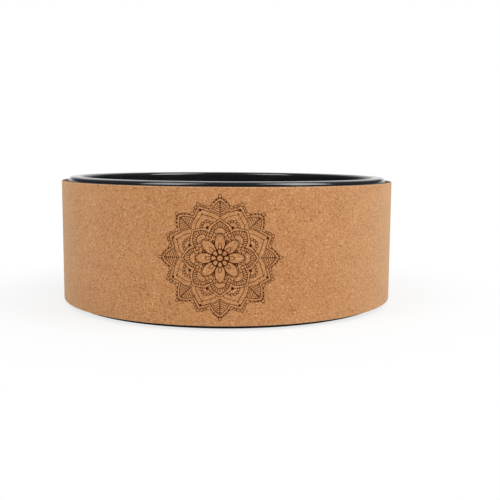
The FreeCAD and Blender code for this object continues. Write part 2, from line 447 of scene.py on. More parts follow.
@dataclass(frozen=True)
class CuredCement(Finish):
    """Solvent cement cured in a joint: amber and slightly cloudy, with trapped bubbles.

    Attributes:
        bubble: Millimetres across a bubble.
    """

    bubble: float = 0.5

    def wire(self, tree: NodeTree, shader: Node, place: NodeSocket) -> None:
        """Adds the bubbles and the cloud round them.

        Args:
            tree: The material's node tree.
            shader: Its Principled shader.
            place: The place on the object.
        """
        bubbles = add_node(tree, "TexVoronoi", {"Vector": place, "Scale": features(self.bubble)})
        ambers = ((0.05, "#E6D6AE"), (0.3, self.colour), (0.8, "#B0985F"))
        add_node(tree, "ValToRGB", {"Fac": bubbles}, stops=ambers, feeds=shader.inputs["Base Color"])
        relief = {"Height": bubbles, "Distance": 0.08 * MM, "Strength": 0.4}
        add_node(tree, "Bump", relief, feeds=shader.inputs["Normal"])


@dataclass(frozen=True)
class StudioPaper(Finish):
    """White background paper: matt, with a faint tooth, and as white to the camera as the backdrop.

    Attributes:
        tooth: Millimetres across the tooth of the paper.
        near: Distance from the wheel's axis up to which the paper shows the most shadow.
        far: Distance from which it is plain white to the camera and in reflections.
        base: Share of plain white that the camera sees up to the near distance.
    """

    tooth: float = 1.5
    near: float = 0.16
    far: float = 0.34
    base: float = 0.78

    def wire(self, tree: NodeTree, shader: Node, place: NodeSocket) -> None:
        """Adds the tooth, and the white that hides where the paper meets the backdrop.

        Args:
            tree: The material's node tree.
            shader: Its Principled shader.
            place: The place on the object.
        """
        tooth = add_node(tree, "TexNoise", {"Vector": place, "Scale": features(self.tooth), "Detail": 2.0})
        whites = ((0.3, "#DCDCDC"), (0.7, self.colour))
        add_node(tree, "ValToRGB", {"Fac": tooth}, stops=whites, feeds=shader.inputs["Base Color"])
        seen = add_node(tree, "LightPath").node.outputs
        away = add_node(tree, "VectorMath", {0: place}, output="Value", operation="LENGTH")
        shares = []
        for ray, start in (("Is Camera Ray", self.base), ("Is Glossy Ray", 0.0)):
            reach = {"Value": away, "From Min": self.near, "From Max": self.far, "To Min": start}
            glow = add_node(tree, "MapRange", reach, interpolation_type="SMOOTHSTEP")
            shares.append(add_node(tree, "Math", {0: seen[ray], 1: glow}, operation="MULTIPLY"))
        share = add_node(tree, "Math", {0: shares[0], 1: shares[1]}, operation="MAXIMUM")
        white = add_node(tree, "Emission", {"Color": linear(WHITE), "Strength": 1.0})
        surface = tree.nodes["Material Output"].inputs["Surface"]
        add_node(tree, "MixShader", {0: share, 1: shader.outputs["BSDF"], 2: white}, feeds=surface)


@dataclass(frozen=True)
class Corner:
    """A corner of a profile that is turned about the wheel's axis.

    Attributes:
        radius: Distance from the axis.
        height: Height above the floor.
        rounding: Radius that the corner is rounded to.
    """

    radius: float
    height: float
    rounding: float = 0.0

    def towards(self, other: "Corner", distance: float) -> "Corner":
        """Gives the plain corner this far along the way to another one."""
        way = Vector((other.radius - self.radius, other.height - self.height)).normalized() * distance
        return Corner(self.radius + way.x, self.height + way.y)


@dataclass(frozen=True)
class Turning:
    """A closed profile turned about the wheel's axis, whole or with a butt seam.

    Attributes:
        corners: The profile's corners, in order.
        steps: Facets round the wheel.
        seam: Direction of the butt seam, in radians from +X.
        gap: Width of the seam, or none for a whole ring.
        arc: Facets in a rounded corner.
        hold: Flat left beside a rounded corner, which keeps its shading off the face beyond.
    """

    corners: tuple[Corner, ...]
    steps: int
    seam: float = 0.0
    gap: float = 0.0
    arc: int = 8
    hold: float = 0.4 * MM

    def profile(self) -> Iterator[Corner]:
        """Gives the corners, with a plain one on each side of a rounded one.

        Returns:
            The corners, in order.
        """
        following = (*self.corners[1:], self.corners[0])
        for before, corner, after in zip((self.corners[-1], *self.corners), self.corners, following):
            if corner.rounding:
                yield corner.towards(before, corner.rounding + self.hold)
            yield corner
            if corner.rounding:
                yield corner.towards(after, corner.rounding + self.hold)

    def mesh(self) -> BMesh:
        """Turns the profile.

        Returns:
            A closed mesh whose faces point outwards.
        """
        mesh = bmesh.new()
        corners = list(self.profile())
        points = [mesh.verts.new((corner.radius, 0, corner.height)) for corner in corners]
        for start, end in zip(points, (*points[1:], points[0])):
            mesh.edges.new((start, end))
        for rounding in sorted({corner.rounding for corner in corners if corner.rounding}):
            bmesh.ops.bevel(
                mesh,
                geom=[point for point, corner in zip(points, corners) if corner.rounding == rounding],
                offset=rounding,
                offset_type="OFFSET",
                affect="VERTICES",
                segments=self.arc,
                profile=0.5,
                material=-1,
                clamp_overlap=False,
            )
        opening = self.gap / max(corner.radius for corner in corners)
        start = Matrix.Rotation(self.seam + opening / 2, 3, "Z")
        bmesh.ops.rotate(mesh, verts=mesh.verts, cent=(0, 0, 0), matrix=start)
        bmesh.ops.spin(
            mesh,
            geom=[*mesh.verts, *mesh.edges],
            cent=(0, 0, 0),
            axis=(0, 0, 1),
            angle=FULL_TURN - opening,
            steps=self.steps,
            use_merge=not self.gap,
        )
        if self.gap:
            bmesh.ops.holes_fill(mesh, edges=[edge for edge in mesh.edges if edge.is_boundary], sides=0)
        bmesh.ops.remove_doubles(mesh, verts=mesh.verts, dist=WELD)
        bmesh.ops.recalc_face_normals(mesh, faces=mesh.faces)
        return mesh


def add_object(name: str, data: ID) -> Object:
    """Puts a mesh, curve, lamp or camera in the scene.

    Args:
        name: The object's name.
        data: What it shows or does.

    Returns:
        The new object.
    """
    made = bpy.data.objects.new(name, data)
    bpy.context.scene.collection.objects.link(made)
    return made


def add_mesh(name: str, mesh: BMesh, finish: Finish) -> Object:
    """Puts a mesh in the scene in a finish.

    Args:
        name: The object's name.
        mesh: Its mesh, in place, which is used up.
        finish: What it is made of.

    Returns:
        The new object.
    """
    data = bpy.data.meshes.new(name)
    mesh.to_mesh(data)
    mesh.free()
    data.materials.append(finish.material())
    return add_object(name, data)


def add_piece(name: str, mesh: BMesh, finish: Finish, slot: str, *nodes: str) -> Object:
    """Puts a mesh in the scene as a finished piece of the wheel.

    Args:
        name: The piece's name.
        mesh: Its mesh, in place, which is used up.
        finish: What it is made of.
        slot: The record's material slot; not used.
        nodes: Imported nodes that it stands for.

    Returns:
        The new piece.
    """
    piece = add_mesh(name, mesh, finish)
    piece.data.shade_smooth()
    piece.data.set_sharp_from_angle(angle=CREASE)
    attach(piece, BODY)
    if nodes:
        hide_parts(*nodes)
    LOG.info("%s: %d faces of %s", name, len(piece.data.polygons), finish.name)
    return piece


def outside_radius(node: str) -> float:
    """Gives the outside radius of a packed ring."""
    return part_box(node)[1].x


class Half(Enum):
    """The two halves of the hoop, by what each wall of it carries at the joint."""

    LOWER = "tongue"
    UPPER = "groove"


@dataclass
class Hoop:
    """The hollow hoop, moulded in two halves and cemented together at mid width.

    Attributes:
        outside: Radius of the face under the cover.
        inside: Radius of the bore.
        width: Width across the two rims.
        joint: Height of the joint.
        outer_round: Rounding from a rim's land to the outer face.
        inner_round: Rounding from a rim's land to the bore.
        wall: Thickness of the outer and inner walls.
        rim_wall: Depth of plastic at a rim.
        cavity_round: Rounding at the end of the cavity.
        bevel: Chamfer that leaves a fine line in the bore where the halves meet.
        key: Thickness of a tongue.
        key_height: How far a tongue enters its groove.
        clearance: Room on each side of a tongue.
        cement: Depth of the cement below a tongue.
        facets: Facets round the wheel.
        arc: Facets in a rounded corner.
        finish: What the hoop is made of.
        glue: The cement in its joints.
    """

    outside: float
    inside: float
    width: float
    joint: float
    outer_round: float
    inner_round: float
    wall: float = 3.5 * MM
    rim_wall: float = 6.0 * MM
    cavity_round: float = 2.0 * MM
    bevel: float = 0.4 * MM
    key: float = 1.3 * MM
    key_height: float = 2.5 * MM
    clearance: float = 0.1 * MM
    cement: float = 0.5 * MM
    facets: int = 288
    arc: int = 14
    # Polished mould, so the gloss is high; the skin still carries a slow ripple.
    finish: Finish = MouldedAbs("moulded_black_abs", "#161718", roughness=0.1, ior=1.53)
    # Hidden in the joint, so it only shows where the halves are taken apart.
    glue: Finish = CuredCement("cured_solvent_cement", "#C9B585", roughness=0.35, ior=1.49)

    @classmethod
    def from_frame(cls) -> "Hoop":
        """Takes the hoop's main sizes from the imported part.

        Returns:
            The hoop.
        """
        mounts = {mount["name"]: mount for mount in frame["record"]["mounts"]}
        bore = mounts["centre_hole"]["dims"]
        land_middle = mounts["lower_rim"]["pos_m"][0]
        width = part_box("upper_hoop_half")[1].z
        outside = outside_radius("lower_hoop_half")
        inside = bore["r_mm"] * MM
        packed_round = (width - bore["length_mm"] * MM) / 2
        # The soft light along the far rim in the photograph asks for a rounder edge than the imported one.
        extra_round = 1.4 * MM
        return cls(
            outside=outside,
            inside=inside,
            width=width,
            joint=width / 2,
            outer_round=outside + inside + packed_round - 2 * land_middle,
            inner_round=packed_round + extra_round,
        )

    def wall_end(self, inner: float, outer: float, half: Half) -> Iterator[Corner]:
        """Gives the tongue or the groove at the end of a wall, from its outer to its inner face.

        Args:
            inner: Radius of the wall's inner face.
            outer: Radius of its outer face.
            half: Which half it is in.

        Returns:
            Four corners, from the outer to the inner side.
        """
        middle = (inner + outer) / 2
        if half is Half.LOWER:
            reach = self.key / 2
            end = self.joint + self.key_height
        else:
            reach = self.key / 2 + self.clearance
            end = self.joint - self.key_height - self.cement
        yield Corner(middle + reach, self.joint)
        yield Corner(middle + reach, end)
        yield Corner(middle - reach, end)
        yield Corner(middle - reach, self.joint)

    def corners(self, half: Half) -> tuple[Corner, ...]:
        """Gives the section of one half, rim down.

        Args:
            half: Which half.

        Returns:
            The corners in order, from the bore round the rim and back through the cavity.
        """
        cavity_inside = self.inside + self.wall
        cavity_outside = self.outside - self.wall
        return (
            Corner(self.inside, self.joint - self.bevel),
            Corner(self.inside, 0.0, self.inner_round),
            Corner(self.outside, 0.0, self.outer_round),
            Corner(self.outside, self.joint),
            *self.wall_end(cavity_outside, self.outside, half),
            Corner(cavity_outside, self.joint),
            Corner(cavity_outside, self.rim_wall, self.cavity_round),
            Corner(cavity_inside, self.rim_wall, self.cavity_round),
            Corner(cavity_inside, self.joint),
            *self.wall_end(self.inside, cavity_inside, half),
            Corner(self.inside + self.bevel, self.joint),
        )

    def build(self) -> None:
        """Makes both halves and dresses the cement between them."""
        for half, name, node in (
            (Half.LOWER, "hoop_lower_shell", "lower_hoop_half"),
            (Half.UPPER, "hoop_upper_shell", "upper_hoop_half"),
        ):
            mesh = Turning(self.corners(half), self.facets, arc=self.arc).mesh()
            if half is Half.UPPER:
                over = Matrix.Translation((0, 0, self.width)) @ Matrix.Rotation(math.pi, 4, "X")
                bmesh.ops.transform(mesh, matrix=over, verts=mesh.verts)
            add_piece(name, mesh, self.finish, "hoop", node)
        for node in ("outer_wall_cement", "inner_wall_cement"):
            ring = frame["nodes"][node]
            ring.data.materials.clear()
            ring.data.materials.append(self.glue.material())
            LOG.info("%s: kept, in %s", node, self.glue.name)


@dataclass
class Cover:
    """The strips wrapped round the hoop: film, foam, film and cork, each butted against its own start.

    Attributes:
        hoop_outside: Radius that the first strip lies on.
        low: Height of the strips' lower edges.
        high: Height of their upper edges.
        gap: Width of a butt seam.
        cork_seam: Direction of the cork's seam, at the back.
        foam_seam: Direction of the other seams.
        cork_round: Rounding of the cork's outer edges.
        foam_round: Rounding of the foam's edges, which the cork presses on.
        facets: Facets round the wheel.
        film: What the two films are made of.
        foam: What the underlay is made of.
        granules: The granule pattern of the cork.
    """

    hoop_outside: float
    low: float
    high: float
    gap: float = 0.4 * MM
    cork_seam: float = math.radians(90)
    foam_seam: float = math.radians(180)
    cork_round: float = 0.8 * MM
    foam_round: float = 0.5 * MM
    facets: int = 384
    # Thin and covered, so it shows only as a fine line at the edges.
    film: Finish = AdhesiveFilm("rolled_adhesive_film", "#6A5F50", roughness=0.4, ior=1.48)
    # Dull, so that the gap between the cork and the rim reads as a dark line.
    foam: Finish = SkivedFoam("skived_closed_cell_foam", "#2C2C2E", roughness=0.9, ior=1.45)
    granules: Granules = Granules()

    @classmethod
    def from_frame(cls, hoop: Hoop) -> "Cover":
        """Takes the cover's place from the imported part.

        Args:
            hoop: The hoop that it is wrapped round.

        Returns:
            The cover.
        """
        lowest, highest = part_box("cork_cover")
        return cls(hoop_outside=hoop.outside, low=lowest.z, high=highest.z)

    @property
    def outside(self) -> float:
        """Radius of the cork's face."""
        return outside_radius("cork_cover")

    def cork(self) -> Finish:
        """Gives the cork's finish, which is paler along this strip's own edges."""
        # Cork scatters light under its skin and has no gloss to speak of.
        return SandedCork(
            "sanded_agglomerated_cork",
            "#C58F61",
            roughness=0.82,
            ior=1.4,
            granules=self.granules,
            low=self.low,
            high=self.high,
        )

    def strip(self, inner: float, outer: float, seam: float, rounding: float, arc: int = 4) -> Turning:
        """Gives the turning of one strip.

        Args:
            inner: Radius of its inner face.
            outer: Radius of its outer face.
            seam: Direction of its seam.
            rounding: Rounding of its two outer edges.
            arc: Facets in each rounding.

        Returns:
            The turning.
        """
        corners = (
            Corner(inner, self.low),
            Corner(outer, self.low, rounding),
            Corner(outer, self.high, rounding),
            Corner(inner, self.high),
        )
        return Turning(corners, self.facets, seam, self.gap, arc)

    def unroll(self, mesh: BMesh, inner: float, rows: int = 3) -> None:
        """Lays the cork's surface out flat for baking, in rows of equal length.

        Args:
            mesh: The cork's mesh.
            inner: Radius of its inner face, which is hidden and gets a thin row of its own.
            rows: Rows that the strip is cut to.
        """
        thickness = self.outside - inner
        girth = 2 * thickness + self.high - self.low
        # Shares of a row's height: the bare strip beside the face, and the hidden inner face.
        margin = 0.03
        hidden = 0.02
        layer = mesh.loops.layers.uv.new("OFBake")
        for face in mesh.faces:
            middle = face.calc_center_median()
            row = min(rows - 1, int(self.turn_share(middle) * rows))
            inside = all(math.hypot(vert.co.x, vert.co.y) < inner + thickness / 4 for vert in face.verts)
            for loop in face.loops:
                place = loop.vert.co
                along = self.turn_share(place)
                # A vertex on the seam belongs to the end that its face is at.
                if abs(along - self.turn_share(middle)) > 0.5:
                    along = round(self.turn_share(middle))
                rise = place.z - self.low
                across = math.hypot(place.x, place.y) - inner
                if rise > (self.high - self.low) / 2:
                    run = girth - across - (self.high - place.z)
                else:
                    run = across + rise
                if inside:
                    share = 1 - margin - hidden + hidden * rise / (self.high - self.low)
                else:
                    share = run / girth * (1 - 2 * margin - hidden)
                loop[layer].uv = (along * rows - row, (row + share) / rows)

    def turn_share(self, place: Vector) -> float:
        """Gives the share of the way round the wheel at which a place lies, from the cork's seam."""
        return (math.atan2(place.y, place.x) - self.cork_seam) / FULL_TURN % 1

    def build(self) -> None:
        """Makes the four strips."""
        film_outside = outside_radius("hoop_tape")
        foam_outside = outside_radius("foam_underlay")
        cork_inside = outside_radius("cork_tape")
        hoop_film = self.strip(self.hoop_outside, film_outside, self.foam_seam, 0.0)
        add_piece("hoop_film", hoop_film.mesh(), self.film, "tape", "hoop_tape")
        foam = self.strip(film_outside, foam_outside, self.foam_seam, self.foam_round)
        underlay = add_piece("foam_wrap", foam.mesh(), self.foam, "foam", "foam_underlay")
        cork_film = self.strip(foam_outside, cork_inside, self.foam_seam, 0.0)
        add_piece("cork_film", cork_film.mesh(), self.film, "tape", "cork_tape")
        cork = self.strip(cork_inside, self.outside, self.cork_seam, self.cork_round, arc=6).mesh()
        self.unroll(cork, cork_inside)
        add_piece("cork_band", cork, self.cork(), "cork", "cork_cover")


@dataclass(frozen=True)
class Stroke:
    """One printed line: a chain of cubic spans, in millimetres from the ornament's centre.

    Attributes:
        knots: For each knot, the handle before it, the knot and the handle after it.
        width: Width of the line at its start.
        closed: Whether the line ends where it started.
        taper: Width at the end as a share of the width at the start.
        steps: Straight runs in each span.
    """

    knots: tuple[tuple[Vector, Vector, Vector], ...]
    width: float
    closed: bool = False
    taper: float = 1.0
    steps: int = 4

    @classmethod
    def line(
        cls, start: Sequence[float], end: Sequence[float], width: float, taper: float = 1.0
    ) -> "Stroke":
        """Gives a straight line between two points.

        Args:
            start: Where it starts.
            end: Where it ends.
            width: Width of the line at its start.
            taper: Width at its end as a share of that.

        Returns:
            The line.
        """
        third = (Vector(end) - Vector(start)) / 3
        knots = tuple((knot - third, knot, knot + third) for knot in (Vector(start), Vector(end)))
        return cls(knots, width, taper=taper, steps=3)

    @classmethod
    def oval(
        cls,
        low: float,
        high: float,
        half: float,
        width: float,
        across: float = 0.0,
        waist: float = 0.5,
    ) -> "Stroke":
        """Gives a closed oval on the motif's axis, or beside it.

        Args:
            low: Nearest point to the ornament's centre.
            high: Furthest point from it.
            half: Half of the oval's width.
            width: Width of the line.
            across: How far the oval stands to the right of the axis.
            waist: Share of the way from the nearest to the furthest point at which it is widest.

        Returns:
            The oval.
        """
        # Handle length at which four spans come nearest to a circle.
        pull = 0.5523
        middle = Vector((across, low + (high - low) * waist))
        side = Vector((half, 0.0))
        rise = Vector((0.0, high - middle.y))
        fall = Vector((0.0, low - middle.y))
        knots = tuple(
            (middle + spoke + before * pull, middle + spoke, middle + spoke + after * pull)
            for spoke, before, after in (
                (rise, -side, side),
                (side, rise, fall),
                (fall, side, -side),
                (-side, fall, rise),
            )
        )
        return cls(knots, width, closed=True)

    @classmethod
    def ring(cls, height: float, radius: float, width: float, across: float = 0.0) -> "Stroke":
        """Gives a circle."""
        return cls.oval(height - radius, height + radius, radius, width, across)

    @classmethod
    def dot(cls, height: float, radius: float, across: float = 0.0) -> "Stroke":
        """Gives a filled circle, as a ring whose line reaches its own middle."""
        return cls.ring(height, radius / 2, radius, across)

    @classmethod
    def bow(cls, height: float, radius: float, spread: float, width: float) -> "Stroke":
        """Gives an arc that is symmetrical about the motif's axis.

        Args:
            height: Height of the arc's centre on the axis.
            radius: Radius of the arc.
            spread: Angle from the axis to either end, in degrees.
            width: Width of the line.

        Returns:
            The arc.
        """
        # Half of the widest angle, in degrees, over which one cubic span stays true to the arc.
        half_span = 25
        spans = max(2, math.ceil(spread / half_span))
        span = math.radians(2 * spread / spans)
        pull = 4 / 3 * math.tan(span / 4) * radius
        centre = Vector((0.0, height))
        knots = []
        for place in range(spans + 1):
            angle = math.radians(-spread) + place * span
            knot = centre + radius * heading(angle)
            along = pull * Vector((math.cos(angle), -math.sin(angle)))
            knots.append((knot - along, knot, knot + along))
        return cls(tuple(knots), width)

    def turned(self, angle: float) -> "Stroke":
        """Gives the stroke turned clockwise about the ornament's centre, by an angle in radians.

        Args:
            angle: The angle.

        Returns:
            The turned stroke.
        """
        turn = Matrix.Rotation(-angle, 2)
        knots = tuple((turn @ before, turn @ knot, turn @ after) for before, knot, after in self.knots)
        return Stroke(knots, self.width, self.closed, self.taper, self.steps)

    def draw(self, curve: Curve) -> None:
        """Adds the stroke to a curve whose bevel is one unit deep.

        Args:
            curve: The curve.
        """
        spline = curve.splines.new("BEZIER")
        last = len(self.knots) - 1
        spline.bezier_points.add(last)
        for place, (point, (before, knot, after)) in enumerate(zip(spline.bezier_points, self.knots)):
            point.co = (*knot, 0)
            point.handle_left = (*before, 0)
            point.handle_right = (*after, 0)
            point.radius = self.width / 2 * (1 + (self.taper - 1) * place / last)
        spline.use_cyclic_u = self.closed
        spline.resolution_u = self.steps


@dataclass(frozen=True)
class Arch:
    """An arch over the motif's axis, by its right-hand side.

    Attributes:
        foot: Where the side starts.
        swell: Handle that the side leaves its foot towards.
        neck: Handle that the side reaches the tip from.
        tip: Height of the tip on the axis.
        joint: Direction of the line on which the foot meets the next arch.
    """

    foot: tuple[float, float]
    swell: tuple[float, float]
    neck: tuple[float, float]
    tip: float
    joint: tuple[float, float] = (1.0, 0.0)

    def stroke(self, width: float, out: float = 0.0) -> Stroke:
        """Gives the arch as a line.

        Args:
            width: Width of the line.
            out: How far the line stands outside the arch, or inside it if this is negative.

        Returns:
            The line, from the left foot over the tip to the right foot.
        """
        corners = [Vector(self.foot), Vector(self.swell), Vector(self.neck), Vector((0.0, self.tip))]
        runs = [end - start for start, end in zip(corners, corners[1:])]
        normals = [Vector((run.y, -run.x)).normalized() for run in runs]
        # Each corner moves so that the runs on both sides of it move out alike.
        shifts = [Vector(self.joint) / normals[0].dot(self.joint)]
        shifts += [(one + two) / (1 + one.dot(two)) for one, two in zip(normals, normals[1:])]
        shifts.append(Vector((0.0, 1 / normals[-1].y)))
        foot, swell, neck, tip = (point + out * shift for point, shift in zip(corners, shifts))
        mirror = Matrix(((-1.0, 0.0), (0.0, 1.0)))
        knots = (
            (mirror @ foot, mirror @ foot, mirror @ swell),
            (mirror @ neck, tip, neck),
            (swell, foot, foot),
        )
        return Stroke(knots, width, steps=9)


@dataclass
class Mandala:
    """The round lotus ornament on the cork: rings of eight petals, drawn in lines and beads.

    A motif is drawn pointing up and repeated round the centre. Sizes are in millimetres.

    Attributes:
        radius: Radius of the cork, in metres.
        height: Height of the ornament's centre, in metres.
        turn: Direction of its centre from the front, in radians.
        folds: Petals in a ring.
        bold: Width of the lines at the heart.
        line: Width of an outline.
        fine: Width of beads and inner lines.
        hair: Width of the lines of small beads.
        faint: Width of the outermost lines.
        inner_band: How far the inner line of a double outline stands inside it.
        outer_band: How far the outer line stands outside it.
        petal: Outline of the petals round the heart.
        keyhole: Small arch at the foot of such a petal.
        collar: Line over the tip of such a petal.
        cloud: Line below the arch of a hatched petal.
        ogee: Outline of the hatched petals.
        alcove: Line inside a wide petal, from one hatched petal's tip to the next.
        hood: Outline of the wide petals between the leaves.
        cradle: Line below the veins of a leaf.
        leaf: Outline of the outermost petals.
        film: Height of a line's crown over its edge, in metres.
        finish: What it is printed with.
    """

    radius: float
    height: float
    turn: float = math.radians(-2.13)
    folds: int = 8
    bold: float = 0.9
    line: float = 0.64
    fine: float = 0.5
    hair: float = 0.38
    faint: float = 0.27
    inner_band: float = 1.0
    outer_band: float = 0.8
    petal: Arch = Arch((2.5, 7.3), (4.1, 8.6), (6.2, 16.3), 20.0)
    keyhole: Arch = Arch((1.3, 7.6), (1.4, 10.0), (1.1, 11.9), 11.9)
    collar: Arch = Arch((3.6, 17.8), (3.0, 19.0), (2.0, 19.6), 19.9)
    cloud: Arch = Arch((4.5, 20.6), (3.2, 19.7), (1.4, 19.8), 20.5)
    ogee: Arch = Arch((9.05, 21.4), (9.0, 25.6), (4.4, 28.2), 30.8, joint=(0.383, 0.924))
    alcove: Arch = Arch((9.25, 28.9), (8.7, 31.8), (6.0, 33.5), 37.9)
    hood: Arch = Arch((7.0, 38.2), (4.7, 40.1), (2.3, 42.0), 43.8, joint=(-0.1, 1.0))
    cradle: Arch = Arch((7.3, 36.9), (5.0, 36.3), (1.8, 34.6), 32.9)
    leaf: Arch = Arch((8.3, 38.0), (7.2, 40.8), (3.6, 45.2), 47.0, joint=(0.592, 0.806))
    film: float = 0.03 * MM
    # Matt and dark; the cork's grain still breaks it up.
    finish: Finish = ScreenInk("screen_printed_brown_ink", "#4C2006", roughness=0.9, ior=1.45)

    @classmethod
    def from_cover(cls, cover: Cover) -> "Mandala":
        """Puts the ornament on the cork's front, a little below mid height, as a hand places it."""
        below = 0.5 * MM
        return cls(radius=cover.outside, height=(cover.low + cover.high) / 2 - below)

    def heart(self) -> Iterator[Stroke]:
        """Draws the ring in the middle."""
        yield Stroke.ring(height=0.0, radius=2.6, width=self.bold)

    def on_axis(self) -> Iterator[Stroke]:
        """Draws one sector's motifs on the line of a leaf: egg, petal, hatched petal, leaf and beads.

        Returns:
            Its strokes.
        """
        yield Stroke.oval(low=2.9, high=7.5, half=1.95, width=self.bold, waist=0.63)
        for arch, width in (
            (self.petal, self.fine),
            (self.keyhole, self.fine),
            (self.collar, self.hair),
            (self.cloud, self.hair),
        ):
            yield arch.stroke(width)
        for side in SIDES:
            yield Stroke.oval(low=17.0, high=20.4, half=1.2, width=self.hair, across=side * 4.6)
            yield Stroke.ring(height=15.9, radius=0.9, width=self.hair, across=side * 4.3)
            for across, height in ((3.4, 16.9), (5.05, 20.7)):
                yield Stroke.dot(height, radius=0.5, across=side * across)
        yield from self.hatched_petal()
        yield from self.feathered_leaf()

    def hatched_petal(self) -> Iterator[Stroke]:
        """Draws a petal with a double outline and hatching round an arch.

        Returns:
            Its strokes.
        """
        focus = Vector((0.0, 19.6))
        inner = 4.95
        # Degrees between two hatches at the tip, and how fast they close up towards the foot.
        spacing = 17.6
        closing = 0.5
        yield from self.outline(self.ogee, self.line, self.fine)
        yield Stroke.bow(focus.y, inner, spread=78, width=self.fine)
        for place in range(-5, 6):
            way = heading(math.radians(spacing * place - closing * place * abs(place)))
            # The middle one is shorter and ends in a bead.
            length = 3.4 if place else 2.2
            yield Stroke.line(focus + inner * way, focus + (inner + length) * way, self.line)
        yield Stroke.oval(low=26.6, high=29.2, half=0.95, width=self.hair)

    def outline(self, arch: Arch, inner: float, outer: float) -> Iterator[Stroke]:
        """Draws a double outline.

        Args:
            arch: The middle of the outline.
            inner: Width of its inner line.
            outer: Width of its outer line.

        Returns:
            The two lines.
        """
        yield arch.stroke(inner, -self.inner_band)
        yield arch.stroke(outer, self.outer_band)

    def feathered_leaf(self) -> Iterator[Stroke]:
        """Draws an outermost petal with a double outline and veins, and its border of beads.

        Returns:
            Its strokes.
        """
        vein_end = self.leaf.tip - 1.5
        lowest_vein = 35.0
        spacing = 1.76
        slope = 0.42
        yield from self.outline(self.leaf, self.line, self.faint)
        yield self.cradle.stroke(self.fine)
        yield Stroke.line((0.0, self.cradle.tip), (0.0, vein_end), self.line)
        for place in range(6):
            start = Vector((0.0, lowest_vein + spacing * place))
            # This power of the spine that is left takes each vein to the leaf's inner line.
            reach = (vein_end - start.y) ** 0.8
            for side in SIDES:
                yield Stroke.line(start, start + reach * Vector((side, slope)), self.fine)
        yield Stroke.dot(self.leaf.tip - 2.8, radius=0.75)
        yield Stroke.oval(low=47.9, high=51.1, half=1.25, width=self.fine)
        for side in SIDES:
            for across, height in ((1.1, 48.2), (3.0, 46.8), (5.1, 44.9), (7.1, 42.3)):
                yield Stroke.dot(height, radius=0.7, across=side * across)
            for across, height, radius in ((2.1, 47.8, 0.5), (4.2, 46.2, 0.6), (6.3, 43.9, 0.8)):
                yield Stroke.ring(height, radius, self.faint, side * across)

    def between(self) -> Iterator[Stroke]:
        """Draws one sector's motifs between two leaves: spoke, beads, wide petal and its border.

        Returns:
            Its strokes.
        """
        yield Stroke.line((0.0, 3.4), (0.0, 13.2), width=0.5, taper=2.0)
        yield Stroke.dot(height=7.05, radius=1.05)
        yield Stroke.ring(height=14.2, radius=1.0, width=1.05)
        yield Stroke.line((-1.3, 15.0), (1.3, 15.0), width=0.8)
        yield Stroke.dot(height=17.85, radius=0.5)
        yield Stroke.ring(height=19.8, radius=1.5, width=self.fine)
        yield Stroke.dot(height=26.5, radius=1.25)
        yield Stroke.line((0.0, 26.2), (0.0, 24.8), width=1.8, taper=0.2)
        yield from self.crown()
        yield from self.outline(self.hood, self.line, self.faint)
        yield self.alcove.stroke(self.fine)
        yield Stroke.dot(self.alcove.tip + 0.3, radius=0.7)
        yield Stroke.dot(self.hood.tip - 2.4, radius=1.0)
        yield Stroke.oval(low=44.8, high=47.7, half=1.25, width=self.fine)
        for side in SIDES:
            for across, height, radius in ((2.65, 44.65, 1.1), (4.4, 42.9, 1.0)):
                yield Stroke.ring(height, radius, self.fine, side * across)
            yield Stroke.oval(low=39.9, high=42.4, half=1.65, width=self.fine, across=side * 7.1)

    def crown(self) -> Iterator[Stroke]:
        """Draws the fan of beads over a filled dot.

        Returns:
            Its strokes.
        """
        middle = Vector((0.0, 26.6))
        reach = 4.95
        step = math.radians(29)
        for place in range(-2, 3):
            bead = middle + reach * heading(place * step)
            yield Stroke.ring(bead.y, radius=1.1, width=self.fine, across=bead.x)
        for side in SIDES:
            yield Stroke.dot(height=28.1, radius=0.45, across=side * 5.4)

    def strokes(self) -> Iterator[Stroke]:
        """Gives every line of the ornament.

        Returns:
            Its strokes, in place round the centre.
        """
        yield from self.heart()
        step = FULL_TURN / self.folds
        for fold in range(self.folds):
            for stroke in self.on_axis():
                yield stroke.turned(fold * step)
            for stroke in self.between():
                yield stroke.turned((fold + 0.5) * step)

    def flat_mesh(self) -> BMesh:
        """Turns the strokes to closed flat ridges, in millimetres.

        Returns:
            The ornament lying in the plane of X and Y.
        """
        curve = bpy.data.curves.new("mandala_lines", "CURVE")
        curve.dimensions = "3D"
        curve.twist_mode = "Z_UP"
        curve.bevel_depth = 1.0
        curve.bevel_resolution = 0
        curve.use_fill_caps = True
        for stroke in self.strokes():
            stroke.draw(curve)
        holder = add_object("mandala_lines", curve)
        data = bpy.data.meshes.new_from_object(holder)
        mesh = bmesh.new()
        mesh.from_mesh(data)
        bpy.data.objects.remove(holder)
        bpy.data.curves.remove(curve)
        bpy.data.meshes.remove(data)
        return mesh

    def build(self) -> None:
        """Prints the ornament on the cork."""
        # A line's edge stands this share of the film off the cork, and its crown one film higher.
        lift = 0.4
        # Millimetres within which a vertex counts as being on a line's edge.
        level = 0.001
        mesh = self.flat_mesh()
        bmesh.ops.remove_doubles(mesh, verts=mesh.verts, dist=WELD / MM)
        for vert in mesh.verts:
            across, up, ridge = vert.co
            angle = self.turn + across * MM / self.radius
            reach = self.radius + self.film * (lift + (ridge > level) - (ridge < -level))
            vert.co = (reach * math.sin(angle), -reach * math.cos(angle), self.height + up * MM)
        bmesh.ops.recalc_face_normals(mesh, faces=mesh.faces)
        add_piece("mandala_print", mesh, self.finish, "print")


